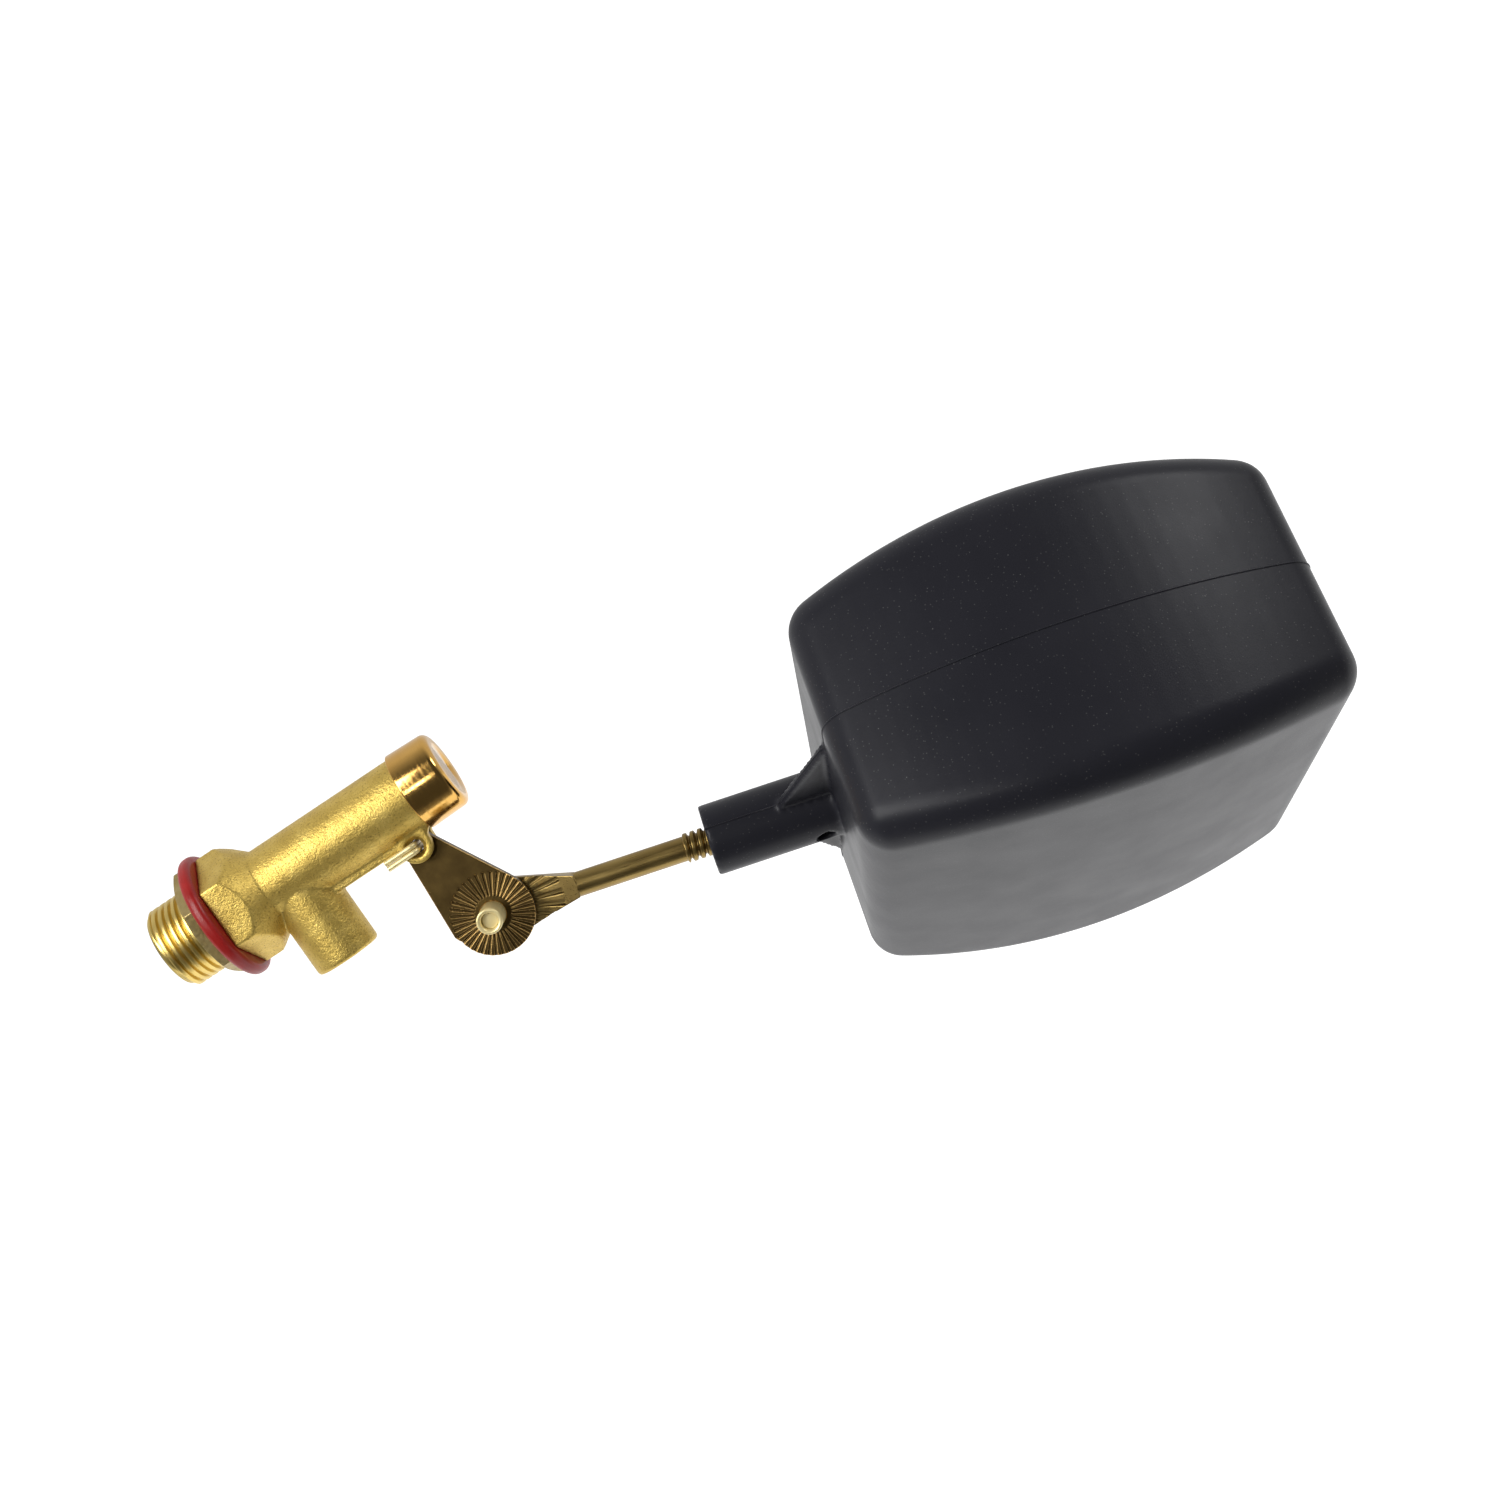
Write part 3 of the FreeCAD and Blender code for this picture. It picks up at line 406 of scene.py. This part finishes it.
def cut_away(form, point, normal):
    """Remove what lies on the normal's side of a plane, and close the cut."""
    geometry = form.verts[:] + form.edges[:] + form.faces[:]
    cut = bmesh.ops.bisect_plane(form, geom=geometry, plane_co=point, plane_no=normal, clear_outer=True)
    edges = [item for item in cut["geom_cut"] if isinstance(item, bmesh.types.BMEdge)]
    bmesh.ops.triangle_fill(form, edges=edges, use_beauty=True)


def soften(piece, voxel, passes):
    """Remesh finely and relax, so that every edge gets a small natural radius."""
    remesh = piece.modifiers.new("remesh", "REMESH")
    remesh.mode = "VOXEL"
    remesh.voxel_size = voxel
    remesh.use_smooth_shade = True
    relax = piece.modifiers.new("relax", "SMOOTH")
    relax.factor = 0.5
    relax.iterations = passes


def roughen(piece, size, depth):
    """Push the surface in and out by soft lumps about size across."""
    lumps = bpy.data.textures.new(piece.name + "_lumps", "CLOUDS")
    lumps.noise_scale = size
    lumps.noise_depth = 2
    push = piece.modifiers.new("lumps", "DISPLACE")
    push.texture = lumps
    push.texture_coords = "LOCAL"
    push.strength = depth
    push.mid_level = 0.5


def spun(name, outline, segments=160, radius_at=None):
    """A closed outline of (along, radius) points turned about X. radius_at may change a radius by angle."""
    form = bmesh.new()
    rings = []
    for along, radius in outline:
        ring = []
        for step in range(segments):
            angle = 2 * math.pi * step / segments
            reach = radius_at(along, radius, angle) if radius_at else radius
            ring.append(form.verts.new((along, reach * math.cos(angle), reach * math.sin(angle))))
        rings.append(ring)
    for ring, following in zip(rings, rings[1:] + rings[:1]):
        for step in range(segments):
            after = (step + 1) % segments
            form.faces.new((ring[step], ring[after], following[after], following[step]))
    return mesh_from(form, name)


def screw_radius(pitch, root, crest):
    """A radius rule for spun(): crest radius turns into a helical thread, and any other radius is kept."""

    def rule(along, radius, angle):
        if radius < crest:
            return radius
        phase = (along / pitch + angle / (2 * math.pi)) % 1
        height = min(1, max(0, THREAD_FULLNESS - THREAD_STEEPNESS * abs(phase - 0.5)))
        return root + (crest - root) * height * height * (3 - 2 * height)

    return rule


def arc(centre, radius, start, stop, count=8):
    """Points of an arc, with its angles in degrees."""
    turns = [math.radians(start + (stop - start) * step / count) for step in range(count + 1)]
    return [(centre[0] + radius * math.cos(turn), centre[1] + radius * math.sin(turn)) for turn in turns]


def evenly(start, stop, spacing):
    count = max(1, round(abs(stop - start) / spacing))
    return [start + (stop - start) * step / count for step in range(count + 1)]


# ---------------------------------------------------------------- valve


def make_casting():
    """The rough casting. Its threaded stub is drawn in a little, to lie under the machined thread."""
    form = joined_copy("valve_body")
    core = THREAD_ROOT - STUB_INSET
    for vert in form.verts:
        if vert.co.x < -STUB_INSET:
            radius = math.hypot(vert.co.y, vert.co.z)
            if radius > core:
                vert.co.y *= core / radius
                vert.co.z *= core / radius
            vert.co.x = max(vert.co.x, -THREAD_LENGTH + STUB_INSET)
    casting = link("casting", mesh_from(form, "casting"))
    soften(casting, voxel=0.28 * MM, passes=14)
    roughen(casting, size=0.6 * MM, depth=0.12 * MM)
    place(casting, "cast_brass", "valve", "cast_brass", "valve_body")


def make_inlet_thread():
    chamfer = THREAD_RADIUS - THREAD_ROOT
    stations = evenly(-THREAD_LENGTH + chamfer, -THREAD_COVERED, THREAD_STEP)
    crests = [(along, THREAD_RADIUS) for along in stations]
    outline = [
        (0, THREAD_ROOT),
        (0, INLET_RADIUS),
        (-THREAD_LENGTH + INLET_LIP, INLET_RADIUS),
        (-THREAD_LENGTH, INLET_RADIUS + INLET_LIP),
        (-THREAD_LENGTH, THREAD_ROOT),
        *crests,
        (-THREAD_COVERED, THREAD_ROOT),
    ]
    rule = screw_radius(THREAD_PITCH, THREAD_ROOT, THREAD_RADIUS)
    thread = link("inlet_thread", spun("inlet_thread", outline, radius_at=rule))
    place(thread, "machined_brass", "valve", "cast_brass")


def make_locknut():
    nut = link("locknut", mesh_from(joined_copy("mounting_locknut"), "locknut"))
    soften(nut, voxel=0.14 * MM, passes=4)
    roughen(nut, size=0.9 * MM, depth=0.06 * MM)
    place(nut, "nut_brass", "locknut", "nut_brass", "mounting_locknut")


def make_cap():
    end_radius = CAP_RADIUS - CAP_TAPER
    corner = (CAP_END - CAP_ROUND, end_radius - CAP_ROUND)
    inner = CAP_RADIUS - CAP_WALL
    outline = [
        (CAP_RIM, inner),
        *arc((CAP_RIM + CAP_LIP, CAP_RADIUS - CAP_LIP), CAP_LIP, 180, 90),
        *arc(corner, CAP_ROUND, 90, 0, 12),
        (CAP_END, TIP_RADIUS),
        (CAP_END - CAP_WALL, TIP_RADIUS),
        (CAP_END - CAP_WALL, inner),
    ]
    cap = link("cap", spun("cap", outline))
    place(cap, "cap_brass", "valve", "cap_brass", "end_cap")


# ---------------------------------------------------------------- lever, clamp and arm


def make_lever():
    lever = link("lever", mesh_from(joined_copy("lever_plate"), "lever"))
    soften(lever, voxel=0.11 * MM, passes=2)
    place(lever, "dark_bronze", "lever", "dark_bronze", "lever_plate")


def make_stud():
    """The clinch nut, spun along its own X, which points to the front of the lever."""
    lip = STUD_LIP
    front = -STUD_FRONT
    outline = [
        (-STUD_BACK, STUD_HOLE),
        (-STUD_BACK, STUD_RADIUS - lip),
        (-STUD_BACK + lip, STUD_RADIUS),
        *arc((front - lip, STUD_RADIUS - lip), lip, 90, 0, 5),
        (front, STUD_HOLE + lip),
        (front - lip, STUD_HOLE),
    ]
    space = Matrix.Translation(CLAMP) @ Matrix.Rotation(-math.pi / 2, 4, "Z")
    stud = link("stud", spun("stud", outline, segments=96), space)
    place(stud, "pale_brass", "lever", "pale_brass", "clinch_nut")


def make_clamp_screw():
    screw = link("clamp_knob", mesh_from(joined_copy("clamp_screw"), "clamp_knob"))
    soften(screw, voxel=0.14 * MM, passes=3)
    place(screw, "pale_brass", "clamp_screw", "turned_brass", "clamp_screw")


def make_rod():
    form = joined_copy("float_rod", ARM_FRAME)
    cut_away(form, (ROD_THREAD_START, 0, 0), (1, 0, 0))
    rod = link("rod", mesh_from(form, "rod"), ARM_FRAME)
    soften(rod, voxel=0.12 * MM, passes=3)
    place(rod, "rod_bronze", "arm", "rod_bronze", "float_rod")


def make_rod_thread():
    start = ROD_THREAD_START - ROD_THREAD_LEAD
    stations = evenly(ROD_THREAD_START, ROD_THREAD_END, ROD_THREAD_STEP)
    crests = [(along, ROD_THREAD_RADIUS) for along in stations]
    outline = [(start, TIP_RADIUS), (start, ROD_THREAD_ROOT), *crests, (ROD_THREAD_END, TIP_RADIUS)]
    rule = screw_radius(ROD_THREAD_PITCH, ROD_THREAD_ROOT, ROD_THREAD_RADIUS)
    thread = link("rod_thread", spun("rod_thread", outline, 96, rule), ARM_FRAME)
    place(thread, "rod_bronze", "arm", "rod_bronze")


# ---------------------------------------------------------------- float


def drop_small_parts(form):
    """Keep only the part of a form with the longest reach, which drops the sealed hollow inside."""
    waiting = set(form.verts)
    parts = []
    while waiting:
        stack = [waiting.pop()]
        part = []
        while stack:
            vert = stack.pop()
            part.append(vert)
            for edge in vert.link_edges:
                other = edge.other_vert(vert)
                if other in waiting:
                    waiting.remove(other)
                    stack.append(other)
        parts.append(part)
    parts.sort(key=lambda part: max(v.co.x for v in part) - min(v.co.x for v in part))
    for part in parts[:-1]:
        bmesh.ops.delete(form, geom=part, context="VERTS")


def make_float():
    form = joined_copy("float_shell")
    drop_small_parts(form)
    shell = link("float_skin", mesh_from(form, "float_skin"))
    soften(shell, voxel=0.6 * MM, passes=6)
    place(shell, "black_plastic", "float", "black_plastic", "float_shell")


def make_seam():
    """The parting line: a fine bead around the float, in the plane between the mould's halves."""
    form = joined_copy("float_shell", FLOAT_FRAME)
    drop_small_parts(form)
    geometry = form.verts[:] + form.edges[:] + form.faces[:]
    bmesh.ops.bisect_plane(
        form, geom=geometry, plane_co=(0, 0, 0), plane_no=(0, 0, 1), clear_inner=True, clear_outer=True
    )
    reach = NECK_BORE + BORE_MARGIN
    inside_bore = [vert for vert in form.verts if abs(vert.co.y) < reach and vert.co.x < BORE_END]
    bmesh.ops.delete(form, geom=inside_bore, context="VERTS")
    curve = bpy.data.curves.new("seam", "CURVE")
    curve.dimensions = "3D"
    curve.bevel_depth = SEAM_RADIUS
    curve.bevel_resolution = 2
    waiting = set(form.verts)
    while waiting:
        ends = [vert for vert in waiting if len(vert.link_edges) == 1]
        vert = ends[0] if ends else next(iter(waiting))
        chain = []
        while vert:
            chain.append(vert.co.copy())
            waiting.discard(vert)
            vert = next((e.other_vert(vert) for e in vert.link_edges if e.other_vert(vert) in waiting), None)
        spline = curve.splines.new("POLY")
        spline.points.add(len(chain) - 1)
        for point, spot in zip(spline.points, chain):
            point.co = (*(FLOAT_FRAME @ spot), 1)
        spline.use_cyclic_u = not ends
    form.free()
    place(link("seam", curve), "black_plastic", "float", "black_plastic")


# ---------------------------------------------------------------- studio


def repaint(node, look):
    """Give a CAD node that stays in view a finished material."""
    for holder in NODES[node].material_slots:
        holder.material = LOOKS[look]


def make_camera():
    level = math.cos(CAMERA_ELEVATION)
    back = Vector((
        math.sin(CAMERA_AZIMUTH) * level,
        -math.cos(CAMERA_AZIMUTH) * level,
        math.sin(CAMERA_ELEVATION),
    ))
    right = Vector((0, 0, 1)).cross(back).normalized()
    up = back.cross(right)
    turned_up = math.cos(CAMERA_ROLL) * up + math.sin(CAMERA_ROLL) * right
    turned_right = turned_up.cross(back)
    data = bpy.data.cameras.new("camera")
    data.lens = CAMERA_LENS
    data.clip_start = CAMERA_CLIP
    camera = bpy.data.objects.new("camera", data)
    axes = Matrix((turned_right, turned_up, back)).transposed().to_4x4()
    camera.matrix_world = Matrix.Translation(CAMERA_SPOT) @ axes
    bpy.context.scene.collection.objects.link(camera)
    bpy.context.scene.camera = camera


def make_floor():
    """A white floor that glows a little, to meet the white background. It ends in front of the valve."""
    form = bmesh.new()
    bmesh.ops.create_grid(form, x_segments=1, y_segments=1, size=FLOOR_HALF)
    centre = (0, FLOOR_HALF + FLOOR_FRONT, CAD_BOX[0].z - FLOOR_DROP)
    floor = link("floor", mesh_from(form, "floor"), Matrix.Translation(centre))
    look = Look("pale_floor", Roughness=0.9, Emission_Color=(1, 1, 1, 1), Emission_Strength=FLOOR_GLOW)
    look.paint(look.ramp(look.noise(0.4), [(0.90, 0.90, 0.90), (0.93, 0.93, 0.93)]))
    floor.data.materials.append(look.material)


def make_world():
    """White to look at and bright from behind, but dim from in front, so that metal keeps its contrast."""
    world = bpy.data.worlds.new("studio")
    bpy.context.scene.world = world
    world.use_nodes = True
    tree = world.node_tree
    lit = tree.nodes["Background"]
    seen = tree.nodes.new("ShaderNodeBackground")
    seen.inputs["Strength"].default_value = WORLD_SEEN
    place_node = tree.nodes.new("ShaderNodeTexCoord")
    parts = tree.nodes.new("ShaderNodeSeparateXYZ")
    falloff = tree.nodes.new("ShaderNodeMapRange")
    for socket, value in WORLD_FALLOFF.items():
        falloff.inputs[socket].default_value = value
    ray = tree.nodes.new("ShaderNodeLightPath")
    choice = tree.nodes.new("ShaderNodeMixShader")
    for background in (lit, seen):
        background.inputs["Color"].default_value = (1, 1, 1, 1)
    tree.links.new(place_node.outputs["Generated"], parts.inputs["Vector"])
    tree.links.new(parts.outputs["Y"], falloff.inputs["Value"])
    tree.links.new(falloff.outputs["Result"], lit.inputs["Strength"])
    tree.links.new(ray.outputs["Is Camera Ray"], choice.inputs["Fac"])
    tree.links.new(lit.outputs["Background"], choice.inputs[1])
    tree.links.new(seen.outputs["Background"], choice.inputs[2])
    tree.links.new(choice.outputs["Shader"], tree.nodes["World Output"].inputs["Surface"])


def make_softbox(name, spot, size, watts):
    """A square area light that faces the middle of the object."""
    data = bpy.data.lights.new(name, "AREA")
    data.size = size
    data.energy = watts
    box = bpy.data.objects.new(name, data)
    middle = (CAD_BOX[0] + CAD_BOX[1]) / 2
    aim = (middle - spot).to_track_quat("-Z", "Y").to_matrix().to_4x4()
    box.matrix_world = Matrix.Translation(spot) @ aim
    bpy.context.scene.collection.objects.link(box)


make_camera()
make_casting()
make_inlet_thread()
make_locknut()
make_cap()
make_lever()
make_stud()
make_clamp_screw()
make_rod()
make_rod_thread()
make_float()
make_seam()
for node, look in REPAINTED.items():
    repaint(node, look)
make_floor()
make_world()
for name, spot, size, watts in SOFTBOXES:
    make_softbox(name, Vector(spot), size, watts)
bpy.context.scene.view_settings.view_transform = "Standard"
